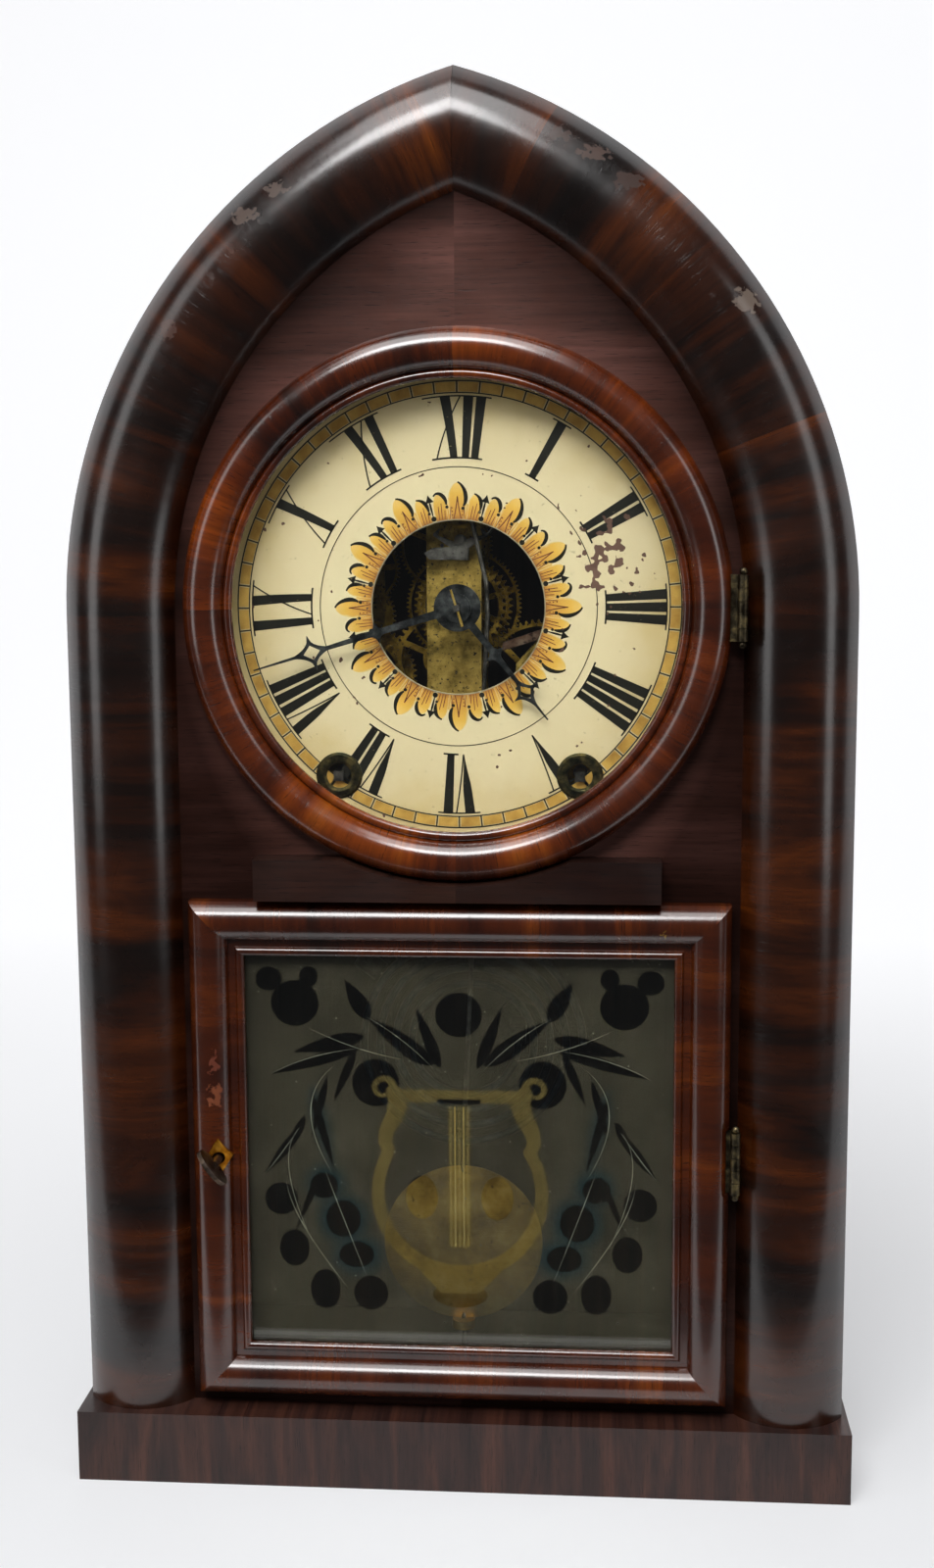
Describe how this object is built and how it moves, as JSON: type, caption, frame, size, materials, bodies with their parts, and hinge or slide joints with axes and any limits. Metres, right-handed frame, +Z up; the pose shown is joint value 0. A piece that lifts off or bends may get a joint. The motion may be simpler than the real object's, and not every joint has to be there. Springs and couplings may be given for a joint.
{
  "type": "beehive shelf clock",
  "caption": "Pointed-arch shelf clock with veneered case, two glazed doors, open-centre dial, strap-plate movement, pendulum and coil gong.",
  "frame": {"origin": "on the floor under the centre line, in the plane of the case's front edges", "axes": "+Z up the case, +Y from the front to the back, +X to the right as seen from the front"},
  "size_m": [0.271, 0.1126, 0.483],
  "materials": {
    "case_veneer": "glossy old varnish over figured veneer",
    "plain_wood": "bare softwood",
    "clear_glass": "old clear glass",
    "frosted_glass": "frosted glass with a cut pattern",
    "dial_paint": "aged cream paint with gilding on zinc",
    "hand_steel": "blued and darkened steel",
    "old_brass": "tarnished brass",
    "dark_steel": "dull steel",
    "iron": "blackened iron"
  },
  "bodies": {
    "case": {"plinth": "case_veneer", "floor_board": "plain_wood", "side_boards": "case_veneer", "arch_top": "case_veneer", "backboard": "plain_wood", "front_board": "case_veneer", "arch_mouldings": "case_veneer", "column_mouldings": "case_veneer", "rail_block": "case_veneer", "hinge_case_leaves": "old_brass", "dial_cleats": "plain_wood", "dial_plate": "dial_paint", "winding_collars": "old_brass", "front_plate": "old_brass", "back_plate": "old_brass", "plate_pillars": "old_brass", "movement_rails": "plain_wood", "movement_fasteners": "dark_steel", "time_mainspring": "dark_steel", "strike_mainspring": "dark_steel", "suspension_post": "old_brass", "gong_coil": "dark_steel", "gong_stand": "iron"},
    "upper_door": {"upper_door_frame": "case_veneer", "upper_door_glass": "clear_glass", "upper_hinge_leaf": "old_brass"},
    "lower_door": {"lower_door_frame": "case_veneer", "lower_door_glass": "frosted_glass", "lower_hinge_leaf": "old_brass", "glazing_strips": "plain_wood", "lock_case": "dark_steel", "escutcheon": "old_brass"},
    "bolt": {"lock_bolt": "dark_steel"},
    "key": {"door_key": "old_brass"},
    "centre": {"centre_arbor": "old_brass", "minute_hand": "hand_steel", "hand_pin": "old_brass"},
    "second": {"second_wheel": "old_brass"},
    "time_great": {"time_great_wheel": "old_brass"},
    "third": {"third_wheel": "old_brass"},
    "escape": {"escape_wheel": "old_brass"},
    "minute_works": {"minute_wheel": "old_brass"},
    "hour": {"hour_wheel": "old_brass", "hour_hand": "hand_steel"},
    "time_winder": {"time_winding_arbor": "dark_steel"},
    "time_click": {"time_click": "dark_steel"},
    "pendulum": {"pendulum_rod": "dark_steel", "pendulum_bob": "old_brass", "rating_nut": "old_brass"},
    "verge": {"verge": "dark_steel"},
    "pin": {"pin_wheel": "old_brass"},
    "strike_great": {"strike_great_wheel": "old_brass"},
    "locking": {"locking_wheel": "old_brass"},
    "warning": {"warning_wheel": "old_brass"},
    "fly": {"fly": "old_brass"},
    "strike_winder": {"strike_winding_arbor": "dark_steel"},
    "strike_click": {"strike_click": "dark_steel"},
    "hammer": {"hammer": "dark_steel"},
    "count_lever": {"count_lever": "dark_steel"},
    "lifting_lever": {"lifting_lever": "dark_steel"}
  },
  "joints": [
    {"name": "upper_door_hinge", "type": "hinge", "parent": "case", "child": "upper_door", "pos_m": [0.0948, -0.0082, 0.308], "axis": [0, 0, 1], "range_deg": [0, 150]},
    {"name": "lower_door_hinge", "type": "hinge", "parent": "case", "child": "lower_door", "pos_m": [0.0948, -0.0082, 0.1194], "axis": [0, 0, 1], "range_deg": [0, 150]},
    {"name": "key_turn", "type": "hinge", "parent": "lower_door", "child": "key", "pos_m": [-0.0833, -0.006, 0.1185], "axis": [0, 1, 0], "range_deg": [0, 90]},
    {"name": "bolt_slide", "type": "slide", "parent": "lower_door", "child": "bolt", "axis": [-1, 0, 0], "range_m": [0, 0.004]},
    {"name": "centre_spin", "type": "hinge", "parent": "case", "child": "centre", "pos_m": [0, 0.035, 0.308], "axis": [0, 1, 0], "continuous": true},
    {"name": "second_spin", "type": "hinge", "parent": "case", "child": "second", "pos_m": [0.02749, 0.035, 0.28006], "axis": [0, 1, 0], "continuous": true},
    {"name": "time_great_spin", "type": "hinge", "parent": "case", "child": "time_great", "pos_m": [0.0415, 0.035, 0.2504], "axis": [0, 1, 0], "continuous": true},
    {"name": "third_spin", "type": "hinge", "parent": "case", "child": "third", "pos_m": [-0.0066, 0.035, 0.32899], "axis": [0, 1, 0], "continuous": true},
    {"name": "escape_spin", "type": "hinge", "parent": "case", "child": "escape", "pos_m": [0, 0.035, 0.346], "axis": [0, 1, 0], "continuous": true},
    {"name": "minute_works_spin", "type": "hinge", "parent": "case", "child": "minute_works", "pos_m": [-0.00782, 0.035, 0.28959], "axis": [0, 1, 0], "continuous": true},
    {"name": "hour_spin", "type": "hinge", "parent": "case", "child": "hour", "pos_m": [0, 0.035, 0.308], "axis": [0, 1, 0], "continuous": true},
    {"name": "time_winding", "type": "hinge", "parent": "time_great", "child": "time_winder", "pos_m": [0.0415, 0.035, 0.2504], "axis": [0, 1, 0], "continuous": true},
    {"name": "time_click_swing", "type": "hinge", "parent": "time_great", "child": "time_click", "pos_m": [0.056, 0.035, 0.2544], "axis": [0, -1, 0], "range_deg": [0, 10], "stiffness_Nm_per_rad": 0.002},
    {"name": "pendulum_swing", "type": "hinge", "parent": "case", "child": "pendulum", "pos_m": [0, 0.014, 0.358], "axis": [0, 1, 0], "range_deg": [-3, 3]},
    {"name": "verge_rock", "type": "hinge", "parent": "case", "child": "verge", "pos_m": [0, 0.019, 0.33065], "axis": [0, 1, 0], "range_deg": [-3, 3]},
    {"name": "pin_spin", "type": "hinge", "parent": "case", "child": "pin", "pos_m": [-0.03639, 0.035, 0.28268], "axis": [0, 1, 0], "continuous": true},
    {"name": "strike_great_spin", "type": "hinge", "parent": "case", "child": "strike_great", "pos_m": [-0.0415, 0.035, 0.2504], "axis": [0, 1, 0], "continuous": true},
    {"name": "locking_spin", "type": "hinge", "parent": "case", "child": "locking", "pos_m": [-0.04014, 0.035, 0.30395], "axis": [0, 1, 0], "continuous": true},
    {"name": "warning_spin", "type": "hinge", "parent": "case", "child": "warning", "pos_m": [-0.03565, 0.035, 0.32068], "axis": [0, 1, 0], "continuous": true},
    {"name": "fly_spin", "type": "hinge", "parent": "case", "child": "fly", "pos_m": [-0.03687, 0.035, 0.33463], "axis": [0, 1, 0], "continuous": true},
    {"name": "strike_winding", "type": "hinge", "parent": "strike_great", "child": "strike_winder", "pos_m": [-0.0415, 0.035, 0.2504], "axis": [0, 1, 0], "continuous": true},
    {"name": "strike_click_swing", "type": "hinge", "parent": "strike_great", "child": "strike_click", "pos_m": [-0.056, 0.035, 0.2544], "axis": [0, 1, 0], "range_deg": [0, 10], "stiffness_Nm_per_rad": 0.002},
    {"name": "hammer_swing", "type": "hinge", "parent": "case", "child": "hammer", "pos_m": [-0.008, 0.035, 0.23], "axis": [0, 1, 0], "range_deg": [0, 12]},
    {"name": "count_lever_swing", "type": "hinge", "parent": "case", "child": "count_lever", "pos_m": [-0.003, 0.035, 0.246], "axis": [0, 1, 0], "range_deg": [0, 8]},
    {"name": "lifting_lever_swing", "type": "hinge", "parent": "case", "child": "lifting_lever", "pos_m": [0.038, 0.035, 0.312], "axis": [0, 1, 0], "range_deg": [0, 6]}
  ],
  "couplings": [
    {"joint": "key_turn", "follows": "bolt_slide", "rad_per_m": 392.7},
    {"joint": "second_spin", "follows": "centre_spin", "ratio": -0.75},
    {"joint": "time_great_spin", "follows": "centre_spin", "ratio": 0.083333},
    {"joint": "third_spin", "follows": "centre_spin", "ratio": -10},
    {"joint": "escape_spin", "follows": "centre_spin", "ratio": 81.25},
    {"joint": "minute_works_spin", "follows": "centre_spin", "ratio": -0.25},
    {"joint": "hour_spin", "follows": "centre_spin", "ratio": 0.083333},
    {"joint": "verge_rock", "follows": "pendulum_swing", "ratio": -0.9745},
    {"joint": "pin_spin", "follows": "locking_spin", "ratio": -0.125},
    {"joint": "strike_great_spin", "follows": "locking_spin", "ratio": 0.012821},
    {"joint": "warning_spin", "follows": "locking_spin", "ratio": -8},
    {"joint": "fly_spin", "follows": "locking_spin", "ratio": 48}
  ]
}
